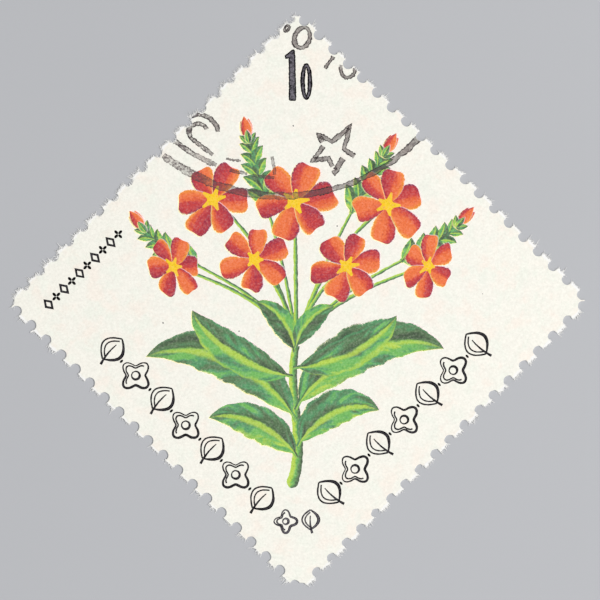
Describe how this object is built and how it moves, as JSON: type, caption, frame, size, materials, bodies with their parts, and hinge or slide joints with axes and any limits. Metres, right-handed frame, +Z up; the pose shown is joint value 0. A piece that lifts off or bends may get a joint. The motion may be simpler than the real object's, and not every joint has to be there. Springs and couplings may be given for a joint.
{
  "type": "postage stamp",
  "caption": "Small square perforated paper label, lying flat with a corner up the page, printed on its face with a flower spray and cancelled with a postmark",
  "frame": {"origin": "on the surface that the sheet lies on, under the middle of its outer box", "axes": "+Z up out of the printed face, +Y towards the corner that is the top of the picture, +X towards its right corner"},
  "size_m": [0.0486, 0.0482, 0.0001],
  "materials": {
    "paper": "matte coated paper with torn fibrous edges",
    "printing_ink": "thin matte printing ink on paper",
    "postmark_ink": "thin blotchy stamping ink on paper"
  },
  "bodies": {
    "root": {"stamp_paper": "paper"}
  },
  "joints": []
}
